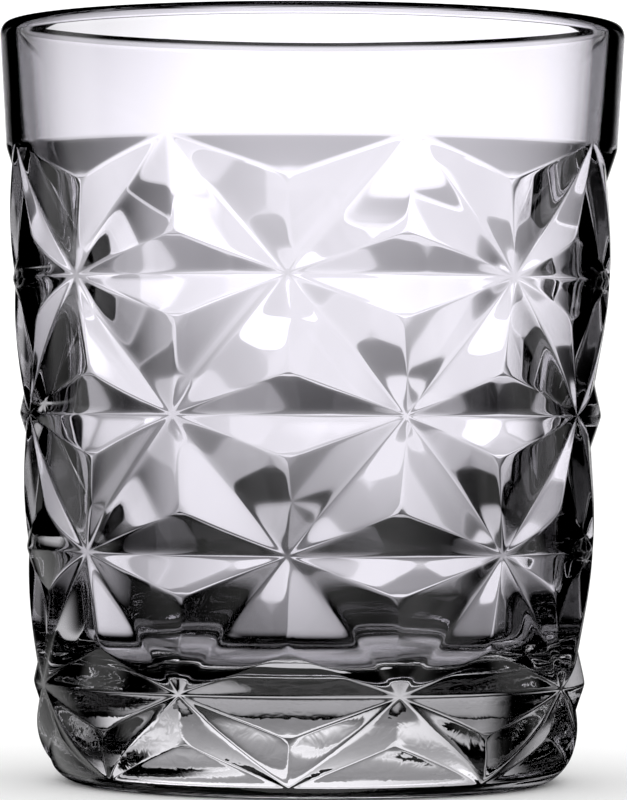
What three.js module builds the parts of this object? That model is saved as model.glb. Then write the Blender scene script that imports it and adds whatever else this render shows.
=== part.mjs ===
// A whiskey tumbler pressed in one piece of clear glass.
// It stands on z = 0 around the Z axis, and all sizes are in millimetres.
import * as THREE from 'three';
import { mergeVertices } from 'three/addons/utils/BufferGeometryUtils.js';

// Driving dimensions of the outside
const HEIGHT = 100;
const MOUTH_RADIUS = 41.4;
const DRAFT = 0.0574; // how much narrower the outside gets for each millimetre down
const COLLAR_HEIGHT = 16.2; // the plain band under the lip
const ROW_SPACING = 17.65; // from one row of stars to the next
const FULL_BANDS = 4; // bands of facets between rows of stars on the straight side
const HEEL_ROW_Z = 1.5; // the last row of stars, on the rounded heel
const HEEL_HEIGHT = 10; // where the side starts to round in to the foot

// Driving dimensions of the star pattern
const STARS_AROUND = 8;
const PIT_DEPTH = 1.55; // how far the facets sink from the ridges to their meeting point
const PIT_SETBACK = 5.45; // from a level ridge to the pit above or below it

// Driving dimensions of the inside and the foot
const LIP_WALL = 2.2;
const LIP_RISE = 1.6; // how far down the rounding of the lip reaches
const INSIDE_DRAFT = 0.075;
const FLOOR_Z = 14.5; // the glass under the drink
const FLOOR_CORNER_RADIUS = 7;
const FOOT_OUTER_RADIUS = 30.3; // the flat ring that the glass stands on
const FOOT_INNER_RADIUS = 27.8;
const FOOT_RECESS = 1.3; // the hollow inside that ring, at its middle

// How finely the curves are cut
const CUTS_PER_FACET = 4;
const STEPS_AROUND = STARS_AROUND * CUTS_PER_FACET;
const ARC_STEPS = 6;
const FOOT_STEPS = 3;

const GLASS_COLOR = 0xe9e7f2;
const GLASS_ROUGHNESS = 0.03;

const FRONT = -Math.PI / 2; // the pattern is lined up with the -Y side
const STAR_ANGLE = (2 * Math.PI) / STARS_AROUND;

// The smooth shape that touches every ridge: a straight cone, rounded in at the heel
function envelopeRadius(z) {
  const straight = MOUTH_RADIUS - DRAFT * (HEIGHT - z);
  if (z >= HEEL_HEIGHT) {
    return straight;
  }
  const heelTop = MOUTH_RADIUS - DRAFT * (HEIGHT - HEEL_HEIGHT);
  const drop = (HEEL_HEIGHT - z) / HEEL_HEIGHT;
  return FOOT_OUTER_RADIUS + (heelTop - FOOT_OUTER_RADIUS) * Math.sqrt(1 - drop * drop);
}

function insideRadius(z) {
  return MOUTH_RADIUS - LIP_WALL - INSIDE_DRAFT * (HEIGHT - LIP_RISE - z);
}

function pointAt(angle, radius, z) {
  return new THREE.Vector3(radius * Math.cos(angle), radius * Math.sin(angle), z);
}

// A corner of the pattern, unrolled: across in stars, up in z, and in by a depth
function corner(across, z, depth) {
  return new THREE.Vector3(across, z, depth);
}

function onOutside(unrolled) {
  const angle = FRONT + unrolled.x * STAR_ANGLE;
  return pointAt(angle, envelopeRadius(unrolled.y) - unrolled.z, unrolled.y);
}

// One flat facet of the unrolled pattern, cut into small triangles and wrapped round the glass
function addFacet(triangles, a, b, c) {
  const cut = (i, j) => {
    const point = a.clone();
    point.addScaledVector(b.clone().sub(a), i / CUTS_PER_FACET);
    point.addScaledVector(c.clone().sub(a), j / CUTS_PER_FACET);
    return onOutside(point);
  };
  for (let j = 0; j < CUTS_PER_FACET; j += 1) {
    for (let i = 0; i < CUTS_PER_FACET - j; i += 1) {
      triangles.push(cut(i, j), cut(i + 1, j), cut(i, j + 1));
      if (i + j < CUTS_PER_FACET - 1) {
        triangles.push(cut(i + 1, j), cut(i + 1, j + 1), cut(i, j + 1));
      }
    }
  }
}

// Three facets that run from the sides of a triangle of ridges down to its pit
function addPyramid(triangles, a, b, c, pit) {
  addFacet(triangles, a, b, pit);
  addFacet(triangles, b, c, pit);
  addFacet(triangles, c, a, pit);
}

// One band of the pattern: pyramids that stand on the lower row of stars, and
// between them pyramids that hang from the upper row, half a star along
function addBand(triangles, lowerZ, upperZ, lowerShift, upperShift) {
  for (let star = 0; star < STARS_AROUND; star += 1) {
    const lower = star + lowerShift;
    const upper = lower + 0.5;
    addPyramid(
      triangles,
      corner(lower, lowerZ, 0),
      corner(lower + 1, lowerZ, 0),
      corner(upper, upperZ, 0),
      corner(upper, lowerZ + PIT_SETBACK, PIT_DEPTH),
    );
    const hanging = star + upperShift;
    addPyramid(
      triangles,
      corner(hanging + 1, upperZ, 0),
      corner(hanging, upperZ, 0),
      corner(hanging + 0.5, lowerZ, 0),
      corner(hanging + 0.5, upperZ - PIT_SETBACK, PIT_DEPTH),
    );
  }
}

// Turns an outline of [radius, z] points round the Z axis
function addTurned(triangles, outline) {
  const around = (step, [radius, z]) => pointAt(FRONT + (step * 2 * Math.PI) / STEPS_AROUND, radius, z);
  for (let k = 0; k + 1 < outline.length; k += 1) {
    const from = outline[k];
    const to = outline[k + 1];
    for (let step = 0; step < STEPS_AROUND; step += 1) {
      if (from[0] > 0) {
        triangles.push(around(step, from), around(step + 1, from), around(step + 1, to));
      }
      if (to[0] > 0) {
        triangles.push(around(step, from), around(step + 1, to), around(step, to));
      }
    }
  }
}

// A round or stretched-round run of outline points, with its half width and half height
function arc(centreRadius, centreZ, halfWidth, halfHeight, fromAngle, toAngle) {
  const points = [];
  for (let step = 0; step <= ARC_STEPS; step += 1) {
    const angle = fromAngle + ((toAngle - fromAngle) * step) / ARC_STEPS;
    points.push([centreRadius + halfWidth * Math.cos(angle), centreZ + halfHeight * Math.sin(angle)]);
  }
  return points;
}

// From the top row of stars up the collar, over the lip, and down the inside to its middle
function mouthOutline(collarZ) {
  const halfWall = LIP_WALL / 2;
  const lipZ = HEIGHT - LIP_RISE;
  const middleZ = (collarZ + lipZ) / 2;
  const cornerZ = FLOOR_Z + FLOOR_CORNER_RADIUS;
  const cornerCentre = insideRadius(cornerZ) - FLOOR_CORNER_RADIUS;
  return [
    [envelopeRadius(collarZ), collarZ],
    [envelopeRadius(middleZ), middleZ],
    ...arc(envelopeRadius(lipZ) - halfWall, lipZ, halfWall, LIP_RISE, 0, Math.PI),
    [insideRadius(middleZ), middleZ],
    ...arc(cornerCentre, cornerZ, FLOOR_CORNER_RADIUS, FLOOR_CORNER_RADIUS, 0, -Math.PI / 2),
    [cornerCentre / 2, FLOOR_Z],
    [0, FLOOR_Z],
  ];
}

// From the middle of the underside out over the flat foot ring to the last row of stars
function footOutline() {
  const points = [];
  for (let step = 0; step <= FOOT_STEPS; step += 1) {
    const share = step / FOOT_STEPS;
    points.push([FOOT_INNER_RADIUS * share, FOOT_RECESS * (1 - share * share)]);
  }
  for (let step = 0; step <= FOOT_STEPS; step += 1) {
    const z = HEEL_ROW_Z * (step / FOOT_STEPS) ** 2;
    points.push([envelopeRadius(z), z]);
  }
  return points;
}

function glassGeometry() {
  const triangles = [];
  const topRowZ = HEIGHT - COLLAR_HEIGHT;
  addTurned(triangles, mouthOutline(topRowZ));
  for (let band = 0; band < FULL_BANDS; band += 1) {
    const upperZ = topRowZ - band * ROW_SPACING;
    const upperShift = band % 2 === 0 ? 0.5 : 0;
    addBand(triangles, upperZ - ROW_SPACING, upperZ, 0.5 - upperShift, upperShift);
  }
  addBand(triangles, HEEL_ROW_Z, topRowZ - FULL_BANDS * ROW_SPACING, 0, 0.5);
  addTurned(triangles, footOutline());
  return mergeVertices(new THREE.BufferGeometry().setFromPoints(triangles), 1e-4);
}

const glassBody = new THREE.Mesh(
  glassGeometry(),
  new THREE.MeshStandardMaterial({ color: GLASS_COLOR, roughness: GLASS_ROUGHNESS, metalness: 0 }),
);
glassBody.name = 'glass_body';

const tumbler = new THREE.Group();
tumbler.add(glassBody);

export default tumbler;
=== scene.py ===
"""A whiskey tumbler of pressed clear glass on a pale floor, in soft studio light.

The glass is one body. Its outside is a lattice of shallow three-sided pits whose ridges
meet in eight-rayed rows of stars; its inside is a smooth cone on a thick base.
Lengths are in metres, with +Z up and the glass standing on z = 0.
"""
import math
from collections import namedtuple

import bpy
from mathutils import Euler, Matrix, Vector


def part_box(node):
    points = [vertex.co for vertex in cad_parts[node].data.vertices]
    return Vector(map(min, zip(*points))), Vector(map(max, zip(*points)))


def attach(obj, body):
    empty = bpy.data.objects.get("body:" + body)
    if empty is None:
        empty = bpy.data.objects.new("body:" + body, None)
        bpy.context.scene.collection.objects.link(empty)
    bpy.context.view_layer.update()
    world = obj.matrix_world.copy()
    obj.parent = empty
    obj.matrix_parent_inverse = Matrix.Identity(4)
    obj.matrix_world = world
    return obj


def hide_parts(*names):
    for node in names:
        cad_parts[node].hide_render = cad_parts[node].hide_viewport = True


MM = 0.001

# The glass
STARS_AROUND = 8
MOUTH_RADIUS = 41.4 * MM
DRAFT = 0.0574                  # how much narrower the outside gets for each millimetre down
COLLAR_HEIGHT = 16.2 * MM       # the plain band under the lip
ROW_SPACING = 17.65 * MM        # from one row of stars to the next
FULL_BANDS = 4                  # bands of facets on the straight side
HEEL_ROW_Z = 1.5 * MM           # the last row of stars, on the rounded heel
HEEL_HEIGHT = 10 * MM           # where the side starts to round in to the foot
PIT_DEPTH = 1.55 * MM
PIT_SETBACK = 5.45 * MM         # from a level ridge to the pit next to it
RIDGE_SOFTNESS = 0.09 * MM      # how much of a ridge's top is rounded off
VALLEY_SOFTNESS = 0.2 * MM
LIP_WALL = 2.2 * MM
LIP_RISE = 1.6 * MM             # how far down the rounding of the lip reaches
INSIDE_DRAFT = 0.075
FLOOR_Z = 14.5 * MM             # the glass under the drink
FLOOR_CORNER_RADIUS = 7 * MM
FOOT_OUTER_RADIUS = 30.3 * MM   # the flat ring that the glass stands on
FOOT_INNER_RADIUS = 27.8 * MM
FOOT_RECESS = 1.3 * MM          # the hollow inside that ring, at its middle
FRONT = -math.pi / 2            # the pattern is lined up with the -Y side

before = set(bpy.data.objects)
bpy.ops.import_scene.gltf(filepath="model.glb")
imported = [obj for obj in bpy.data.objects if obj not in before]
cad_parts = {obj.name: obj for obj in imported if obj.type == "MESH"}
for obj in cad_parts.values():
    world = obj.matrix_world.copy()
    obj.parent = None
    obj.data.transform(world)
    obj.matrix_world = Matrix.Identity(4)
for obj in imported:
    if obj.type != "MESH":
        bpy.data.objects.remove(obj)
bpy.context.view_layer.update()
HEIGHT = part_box("glass_body")[1].z
TOP_ROW_Z = HEIGHT - COLLAR_HEIGHT
LOWEST_FULL_ROW_Z = TOP_ROW_Z - FULL_BANDS * ROW_SPACING

GLASS_SIZES = {
    "Stars around": STARS_AROUND,
    "Height": HEIGHT,
    "Mouth radius": MOUTH_RADIUS,
    "Draft": DRAFT,
    "Row spacing": ROW_SPACING,
    "Lowest full row": LOWEST_FULL_ROW_Z,
    "Heel row": HEEL_ROW_Z,
    "Heel height": HEEL_HEIGHT,
    "Foot radius": FOOT_OUTER_RADIUS,
    "Pit depth": PIT_DEPTH,
    "Pit setback": PIT_SETBACK,
    "Ridge softness": RIDGE_SOFTNESS,
    "Valley softness": VALLEY_SOFTNESS,
}

# How finely the skin is cut
CELLS_ACROSS = 20               # along each ridge
CELLS_DEEP = 12                 # from a ridge down to its pit
ARC_STEPS = 12
WALL_STEPS = 16
CROWDING = 1.6                  # how much closer together the cells are next to a ridge
WELD = 0.004 * MM
CIRCLE_SIDES = 96               # of the tent and the floor

# The camera
CAMERA_AZIMUTH = math.radians(4.3)
CAMERA_DISTANCE = 643 * MM
CAMERA_HEIGHT = 50.4 * MM
CAMERA_ROLL = math.radians(0.3)
CAMERA_LENS = 218.4
CAMERA_SIDE = 0.37 * MM         # the glass stands a hair left of the middle of the view

# The finish of the glass
GLASS_TINT = (0.96, 0.945, 0.99, 1)
GLASS_IOR = 1.5
WAVES_PER_METRE = 60
WAVE_STRENGTH = 0.15
WAVE_HEIGHT = 0.2 * MM
RIPPLES_PER_METRE = 350         # the shorter ripples that cooling leaves in the thick base
RIPPLE_SHARE = 0.9              # how high a ripple is, next to a wave
RIPPLE_TOP = 19 * MM            # they fade out up to this height
RIPPLE_FADE = 9 * MM
BASE_ROUGHNESS = 0.03           # of the highest ripples
OBJECT_COORDINATES = 3          # which output of a texture coordinate node gives them

# The tent of light round the glass. Its windows are placed in degrees as the glass sees them,
# where azimuth 0 is straight behind it, away from the camera, and 90 is on the right, and in
# millimetres above the floor. Each fades out towards its edges.
Window = namedtuple("Window", "azimuth width side_fade low high end_fade light")
WINDOWS = (
    Window(0, 53, 7, -14, 141, 54, 0.49),           # the large soft one behind the glass
    Window(4, 52, 20, 24, 168, 35, 0.54),           # its brighter upper part
    Window(0, 56, 7, 83, 122, 6, 0.43),             # and its brightest, behind the collar
    Window(184, 118, 29, 24, 119, 20, 0.72),        # the front, for reflections
    Window(-90, 30, 9, 0, 130, 30, 0.7),            # the left side
    Window(90, 30, 9, 0, 130, 30, 0.5),             # the right side
    Window(-48, 44, 16, -130, 18, 18, 0.55),        # behind, low down, for a view from above
    Window(138, 56, 16, -90, 30, 20, 0.5),          # in front, low down, for a view from above
    Window(0, 400, 9, -900, -700, 50, 0.6),         # the end of the tent under the glass
)
TENT_RADIUS = 200 * MM
TENT_HEIGHT = 1600 * MM

WHITE = (1, 1, 1, 1)
FLOOR_COLOUR = (0.9, 0.9, 0.9, 1)
FLOOR_RADIUS = 8
STUDIO_LIGHT = 1.3


class Value:
    """A socket of a node tree, so that node maths reads like ordinary maths."""

    def __init__(self, socket):
        self.socket = socket

    def math(self, operation, *others):
        tree = self.socket.id_data
        sockets = dict(enumerate([self, *others]))
        return add_node(tree, "ShaderNodeMath", {"operation": operation}, sockets)[0]

    def __add__(self, other):
        return self.math("ADD", other)

    def __sub__(self, other):
        return self.math("SUBTRACT", other)

    def __rsub__(self, other):
        return self.math("MULTIPLY", -1).math("ADD", other)

    def __mul__(self, other):
        return self.math("MULTIPLY", other)

    def __truediv__(self, other):
        return self.math("DIVIDE", other)

    def __rtruediv__(self, other):
        return self.math("POWER", -1).math("MULTIPLY", other)

    def __pow__(self, other):
        return self.math("POWER", other)

    __radd__ = __add__
    __rmul__ = __mul__


def add_node(tree, kind, settings=None, sockets=None):
    """Adds a node: its settings first, then the values or links of its inputs. Returns its outputs."""
    node = tree.nodes.new(kind)
    for name, setting in (settings or {}).items():
        setattr(node, name, setting)
    for key, value in (sockets or {}).items():
        for item in value if isinstance(value, list) else [value]:
            if isinstance(item, Value):
                tree.links.new(item.socket, node.inputs[key])
            else:
                node.inputs[key].default_value = item
    return [Value(output) for output in node.outputs if output.enabled]


def arc(centre_radius, centre_z, radius, start, end):
    """Points (radius, z) along a round stretch of an outline."""
    turns = [start + (end - start) * step / ARC_STEPS for step in range(ARC_STEPS + 1)]
    return [(centre_radius + radius * math.cos(a), centre_z + radius * math.sin(a)) for a in turns]


def straight(start, end, steps):
    """Points between two outline points, crowded towards both ends, which are left out."""
    shares = [0.5 - 0.5 * math.cos(math.pi * step / steps) for step in range(1, steps)]
    return [tuple(a + (b - a) * share for a, b in zip(start, end)) for share in shares]


def envelope_radius(z):
    """The smooth shape that touches every ridge: a straight cone, rounded in at the heel."""
    side = MOUTH_RADIUS - DRAFT * (HEIGHT - max(z, HEEL_HEIGHT))
    drop = max(HEEL_HEIGHT - z, 0) / HEEL_HEIGHT
    return FOOT_OUTER_RADIUS + (side - FOOT_OUTER_RADIUS) * math.sqrt(1 - drop * drop)


def mouth_outline():
    """From the top row of stars up the collar, over the lip and down the inside to its middle."""
    lip_z = HEIGHT - LIP_RISE
    collar = (envelope_radius(TOP_ROW_Z), TOP_ROW_Z)
    half_wall = LIP_WALL / 2
    lean = math.atan(DRAFT * LIP_RISE / half_wall)
    inside_lean = math.atan(INSIDE_DRAFT * LIP_RISE / half_wall)
    round_lip = arc(0, 0, 1, -lean, math.pi - inside_lean)
    lip_middle = envelope_radius(lip_z) - half_wall
    lip = [(lip_middle + half_wall * x, lip_z + LIP_RISE * y) for x, y in round_lip]
    turn = math.atan(INSIDE_DRAFT)
    corner_z = FLOOR_Z + FLOOR_CORNER_RADIUS * (1 - math.sin(turn))
    inside_corner = lip[-1][0] - INSIDE_DRAFT * (lip[-1][1] - corner_z)
    corner_centre = inside_corner - FLOOR_CORNER_RADIUS * math.cos(turn)
    corner = arc(corner_centre, FLOOR_Z + FLOOR_CORNER_RADIUS, FLOOR_CORNER_RADIUS, -turn, -math.pi / 2)
    points = [collar, *straight(collar, lip[0], WALL_STEPS), *lip]
    points += [*straight(lip[-1], corner[0], WALL_STEPS), *corner]
    points += [*straight(corner[-1], (0, FLOOR_Z), WALL_STEPS), (0, FLOOR_Z)]
    return points


def foot_outline():
    """From the middle of the underside out over the foot ring to the last row of stars."""
    hollow = [FOOT_INNER_RADIUS * step / WALL_STEPS for step in range(WALL_STEPS + 1)]
    points = [(r, FOOT_RECESS * (1 - (r / FOOT_INNER_RADIUS) ** 2)) for r in hollow]
    heel = [HEEL_ROW_Z * (step / WALL_STEPS) ** 2 for step in range(WALL_STEPS + 1)]
    return points + [(envelope_radius(z), z) for z in heel]


def outline_mesh(name, outlines):
    """A mesh that holds outline points in order, (radius, 0, z), for the turning tree to read."""
    mesh = bpy.data.meshes.new(name)
    mesh.from_pydata([(r, 0, z) for outline in outlines for r, z in outline], [], [])
    piece = bpy.data.objects.new(name, mesh)
    bpy.context.scene.collection.objects.link(piece)
    return piece


def eased(share):
    """Crowds evenly spaced shares from 0 to 1 towards both ends."""
    return 0.5 - 0.5 * (share * math.pi).math("COSINE")


def on_glass(tree, across, radius, z, size):
    """The point at that many stars round the glass, at that radius and height."""
    angle = FRONT + across * (2 * math.pi / size["Stars around"])
    sockets = {0: radius * angle.math("COSINE"), 1: radius * angle.math("SINE"), 2: z}
    return add_node(tree, "ShaderNodeCombineXYZ", {}, sockets)[0]


def grid(tree, columns, rows):
    """A flat grid one unit wide and high from the origin, with its fields x and y."""
    sockets = {"Size X": 1, "Size Y": 1, "Vertices X": columns + 1, "Vertices Y": rows + 1}
    mesh = add_node(tree, "GeometryNodeMeshGrid", {}, sockets)[0]
    position = add_node(tree, "GeometryNodeInputPosition")[0]
    x, y, _ = add_node(tree, "ShaderNodeSeparateXYZ", {}, {0: position})
    return mesh, x + 0.5, y + 0.5


def moved(tree, mesh, place):
    return add_node(tree, "GeometryNodeSetPosition", {}, {"Geometry": mesh, "Position": place})[0]


def joined(tree, parts):
    return add_node(tree, "GeometryNodeJoinGeometry", {}, {0: parts})[0]


def pyramid(tree, pit_level):
    """One pit and its three facets, in a triangle of ridges one star wide and one band high."""
    facets = []
    corners = [(0, 0), (1, 0), (0.5, 1)]
    for (ax, ay), (bx, by) in zip(corners, corners[1:] + corners[:1]):
        patch, x, y = grid(tree, CELLS_ACROSS, CELLS_DEEP)
        along = eased(x)
        outward = 1 - y ** CROWDING
        across = 0.5 + outward * (ax - 0.5 + (bx - ax) * along)
        up = pit_level + outward * (ay - pit_level + (by - ay) * along)
        place = add_node(tree, "ShaderNodeCombineXYZ", {}, {0: across, 1: up})[0]
        facets.append(moved(tree, patch, place))
    return joined(tree, facets)


def pit_bands(tree, first_band, bands, pit_level, stars):
    """Pyramids round the glass: in each band half of them stand and half hang between them."""
    points = add_node(tree, "GeometryNodeMeshLine", {}, {"Count": stars * (2 * bands)})[0]
    index = add_node(tree, "GeometryNodeInputIndex")[0]
    step = (index / stars).math("FLOOR")
    hangs = step.math("MODULO", 2)
    row = first_band + (step / 2).math("FLOOR") + hangs
    across = index.math("MODULO", stars) + 0.5 * row.math("MODULO", 2) + hangs
    place = add_node(tree, "ShaderNodeCombineXYZ", {}, {0: across, 1: row})[0]
    turn = add_node(tree, "ShaderNodeCombineXYZ", {}, {2: hangs * math.pi})[0]
    sockets = {
        "Points": moved(tree, points, place),
        "Instance": pyramid(tree, pit_level),
        "Rotation": turn,
    }
    placed = add_node(tree, "GeometryNodeInstanceOnPoints", {}, sockets)[0]
    return add_node(tree, "GeometryNodeRealizeInstances", {}, {0: placed})[0]


def pit_depth(level, pit_level, across, row, size):
    """How far a point of the unrolled pattern lies under the ridges, with soft ridges and valleys."""
    falling = (across - row / 2).math("FRACT")
    rising = (across + row / 2).math("FRACT")
    hangs = (level + falling - rising).math("GREATER_THAN", 0.5)
    slopes = []
    side_level = (1 - pit_level) / 2
    for share, at_pit in ((level, pit_level), (falling, side_level), (1 - rising, side_level)):
        from_ridge = share + hangs * (1 - 2 * share)
        slopes.append(size["Pit depth"] * from_ridge / at_pit)
    soft = size["Valley softness"]
    sunk = slopes[0].math("SMOOTH_MIN", slopes[1], soft).math("SMOOTH_MIN", slopes[2], soft)
    sunk = sunk.math("MAXIMUM", 0)
    round_off = size["Ridge softness"]
    return (sunk * sunk + round_off * round_off).math("SQRT") - round_off


def wrap_pattern(tree, pattern, size):
    """Bends the unrolled pattern round the glass: x counts stars, y counts rows from the heel up."""
    position = add_node(tree, "GeometryNodeInputPosition")[0]
    across, row, _ = add_node(tree, "ShaderNodeSeparateXYZ", {}, {0: position})
    heel_band = size["Lowest full row"] - size["Heel row"]
    in_heel = row.math("LESS_THAN", 1)
    band_height = size["Row spacing"] + in_heel * (heel_band - size["Row spacing"])
    z = size["Heel row"] + row.math("MINIMUM", 1) * heel_band
    z = z + (row - 1).math("MAXIMUM", 0) * size["Row spacing"]
    depth = pit_depth(row.math("FRACT"), size["Pit setback"] / band_height, across, row, size)
    heel_height = size["Heel height"]
    side = size["Mouth radius"] - size["Draft"] * (size["Height"] - z.math("MAXIMUM", heel_height))
    drop = ((heel_height - z) / heel_height).math("MAXIMUM", 0)
    foot = size["Foot radius"]
    envelope = foot + (side - foot) * (1 - drop * drop).math("SQRT")
    return moved(tree, pattern, on_glass(tree, across, envelope - depth, z, size))


def turned(tree, outline, first, count, shift, size):
    """The skin that a run of outline points makes, turned round the axis."""
    stars = size["Stars around"]
    skin, x, y = grid(tree, stars * CELLS_ACROSS, count - 1)
    column = (x * (stars * CELLS_ACROSS)).math("ROUND")
    across = (column / CELLS_ACROSS).math("FLOOR") + shift
    across = across + eased(column.math("MODULO", CELLS_ACROSS) / CELLS_ACROSS)
    row = (y * (count - 1)).math("ROUND") + first
    position = add_node(tree, "GeometryNodeInputPosition")[0]
    sockets = {"Geometry": outline, "Value": position, "Index": row}
    point = add_node(tree, "GeometryNodeSampleIndex", {"data_type": "FLOAT_VECTOR"}, sockets)[0]
    radius, _, z = add_node(tree, "ShaderNodeSeparateXYZ", {}, {0: point})
    return moved(tree, skin, on_glass(tree, across, radius, z, size))


def glass_tree(mouth_count, foot_count):
    """Makes the whole glass from its outline: pit bands wrapped round it, and the turned rest."""
    tree = bpy.data.node_groups.new("pressed_glass", "GeometryNodeTree")
    tree.interface.new_socket("Geometry", in_out="INPUT", socket_type="NodeSocketGeometry")
    tree.interface.new_socket("Geometry", in_out="OUTPUT", socket_type="NodeSocketGeometry")
    for name, value in GLASS_SIZES.items():
        kind = "NodeSocketInt" if isinstance(value, int) else "NodeSocketFloat"
        tree.interface.new_socket(name, in_out="INPUT", socket_type=kind)
    tree.interface.new_socket("Material", in_out="INPUT", socket_type="NodeSocketMaterial")
    inputs = add_node(tree, "NodeGroupInput")
    size = {value.socket.name: value for value in inputs if value.socket.name}
    outline = size["Geometry"]
    full_pit_level = size["Pit setback"] / size["Row spacing"]
    heel_pit_level = size["Pit setback"] / (size["Lowest full row"] - size["Heel row"])
    bands = [
        pit_bands(tree, 0, 1, heel_pit_level, size["Stars around"]),
        pit_bands(tree, 1, FULL_BANDS, full_pit_level, size["Stars around"]),
    ]
    parts = [
        wrap_pattern(tree, joined(tree, bands), size),
        turned(tree, outline, 0, mouth_count, 0.5 * ((FULL_BANDS + 1) % 2), size),
        turned(tree, outline, mouth_count, foot_count, 0, size),
    ]
    whole = joined(tree, parts)
    whole = add_node(tree, "GeometryNodeMergeByDistance", {}, {0: whole, "Distance": WELD})[0]
    whole = add_node(tree, "GeometryNodeSetShadeSmooth", {}, {0: whole})[0]
    whole = add_node(tree, "GeometryNodeRealizeInstances", {}, {0: whole})[0]
    sockets = {0: whole, "Material": size["Material"]}
    whole = add_node(tree, "GeometryNodeSetMaterial", {}, sockets)[0]
    add_node(tree, "NodeGroupOutput", {}, {0: whole})
    return tree


def make_glass(material):
    """The finished glass as one plain mesh."""
    mouth = mouth_outline()
    foot = foot_outline()
    maker = outline_mesh("glass_outline", [mouth, foot])
    tree = glass_tree(len(mouth), len(foot))
    modifier = maker.modifiers.new("pressed_glass", "NODES")
    modifier.node_group = tree
    values = {**GLASS_SIZES, "Material": material}
    for item in tree.interface.items_tree:
        if item.in_out == "INPUT" and item.name in values:
            modifier[item.identifier] = values[item.name]
    evaluated = maker.evaluated_get(bpy.context.evaluated_depsgraph_get())
    mesh = bpy.data.meshes.new_from_object(evaluated)
    bpy.data.objects.remove(maker)
    glass = bpy.data.objects.new("pressed_glass", mesh)
    bpy.context.scene.collection.objects.link(glass)
    return glass


def clear_glass():
    """Polished clear glass with a very faint cool tint and the slight waviness of pressing."""
    material = bpy.data.materials.new("clear_glass")
    material.use_nodes = True
    tree = material.node_tree
    shader = tree.nodes["Principled BSDF"]
    shader.inputs["Transmission Weight"].default_value = 1
    shader.inputs["IOR"].default_value = GLASS_IOR
    shader.inputs["Base Color"].default_value = GLASS_TINT
    place = add_node(tree, "ShaderNodeTexCoord")[OBJECT_COORDINATES]
    height = add_node(tree, "ShaderNodeSeparateXYZ", {}, {0: place})[2]
    in_base = smooth_step((RIPPLE_TOP - height) / RIPPLE_FADE)
    sockets = {"Vector": place, "Scale": WAVES_PER_METRE, "Detail": 1}
    waves = add_node(tree, "ShaderNodeTexNoise", {}, sockets)[0]
    sockets = {"Vector": place, "Scale": RIPPLES_PER_METRE, "Detail": 2, "Distortion": 1}
    ripples = add_node(tree, "ShaderNodeTexNoise", {}, sockets)[0] * in_base
    surface = waves + RIPPLE_SHARE * ripples
    sockets = {"Strength": WAVE_STRENGTH, "Distance": WAVE_HEIGHT, "Height": surface}
    bump = add_node(tree, "ShaderNodeBump", {}, sockets)[0]
    tree.links.new((BASE_ROUGHNESS * ripples).socket, shader.inputs["Roughness"])
    tree.links.new(bump.socket, shader.inputs["Normal"])
    return material


def soft_band(value, low, high, fade):
    """1 inside the band from low to high, easing to 0 at its two ends."""
    inside = (value - low).math("MINIMUM", high - value)
    return smooth_step(inside / fade)


def smooth_step(share):
    """Eases a share from 0 to 1 at both ends."""
    share = share.math("MAXIMUM", 0).math("MINIMUM", 1)
    return share * share * (3 - 2 * share)


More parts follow.
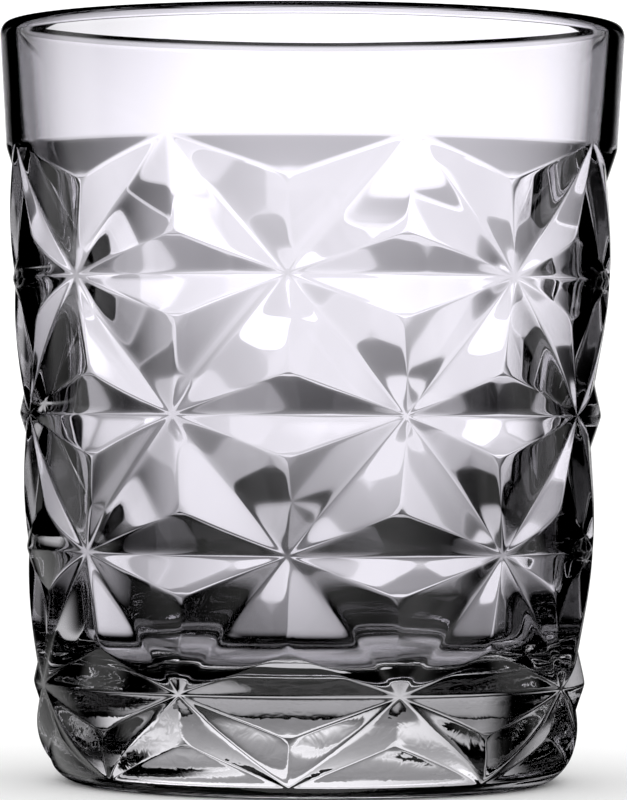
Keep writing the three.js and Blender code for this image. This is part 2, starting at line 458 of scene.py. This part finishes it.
def make_light_tent():
    """A round tent of soft light close around the glass, brighter where its windows are."""
    material = bpy.data.materials.new("light_tent")
    material.use_nodes = True
    tree = material.node_tree
    tree.nodes.clear()
    place = add_node(tree, "ShaderNodeTexCoord")[OBJECT_COORDINATES]
    x, y, z = add_node(tree, "ShaderNodeSeparateXYZ", {}, {0: place})
    azimuth = x.math("ARCTAN2", y).math("DEGREES") + math.degrees(CAMERA_AZIMUTH)
    height = z / MM
    glow = 0
    for window in WINDOWS:
        turned_off = (azimuth - window.azimuth).math("WRAP", 180, -180)
        reach = window.width / 2
        across = soft_band(turned_off, -reach, reach, window.side_fade)
        up = soft_band(height, window.low, window.high, window.end_fade)
        glow = across * up * window.light + glow
    light = add_node(tree, "ShaderNodeEmission", {}, {"Strength": glow})[0]
    add_node(tree, "ShaderNodeOutputMaterial", {}, {"Surface": light})
    material.cycles.emission_sampling = "NONE"
    bpy.ops.mesh.primitive_cylinder_add(vertices=CIRCLE_SIDES, radius=TENT_RADIUS, depth=TENT_HEIGHT)
    tent = bpy.context.object
    tent.name = "light_tent"
    tent.data.materials.append(material)
    seen_only_by(tent, "glossy", "transmission")


def seen_only_by(piece, *rays):
    """Hides a piece from every kind of ray but those named."""
    for kind in ("camera", "diffuse", "glossy", "transmission", "shadow"):
        setattr(piece, f"visible_{kind}", kind in rays)


def make_stage():
    """A plain pale floor in front of plain white all round. The glass itself sees only its tent."""
    world = bpy.data.worlds.new("white_studio")
    bpy.context.scene.world = world
    world.use_nodes = True
    background = world.node_tree.nodes["Background"]
    background.inputs["Color"].default_value = WHITE
    background.inputs["Strength"].default_value = STUDIO_LIGHT
    world.cycles_visibility.glossy = False
    world.cycles_visibility.transmission = False
    material = bpy.data.materials.new("pale_floor")
    material.use_nodes = True
    shader = material.node_tree.nodes["Principled BSDF"]
    shader.inputs["Base Color"].default_value = FLOOR_COLOUR
    shader.inputs["Roughness"].default_value = 1
    shader.inputs["Specular IOR Level"].default_value = 0
    bpy.ops.mesh.primitive_circle_add(vertices=CIRCLE_SIDES, radius=FLOOR_RADIUS, fill_type="NGON")
    floor = bpy.context.object
    floor.name = "floor"
    floor.data.materials.append(material)
    seen_only_by(floor, "camera", "diffuse")
    bpy.context.scene.view_settings.view_transform = "Standard"


def make_camera():
    """A level camera with a long lens, half as high as the glass."""
    data = bpy.data.cameras.new("camera")
    data.lens = CAMERA_LENS
    data.clip_start = 0.01
    camera = bpy.data.objects.new("camera", data)
    bpy.context.scene.collection.objects.link(camera)
    level = Euler((math.pi / 2, 0, 0)).to_matrix()
    roll = Euler((0, 0, CAMERA_ROLL)).to_matrix()
    turn = Euler((0, 0, CAMERA_AZIMUTH)).to_matrix()
    camera.rotation_euler = (turn @ level @ roll).to_euler()
    camera.location = turn @ Vector((CAMERA_SIDE, -CAMERA_DISTANCE, CAMERA_HEIGHT))
    bpy.context.scene.camera = camera


make_camera()
make_light_tent()
make_stage()
glass = make_glass(clear_glass())
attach(glass, "root")
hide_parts("glass_body")
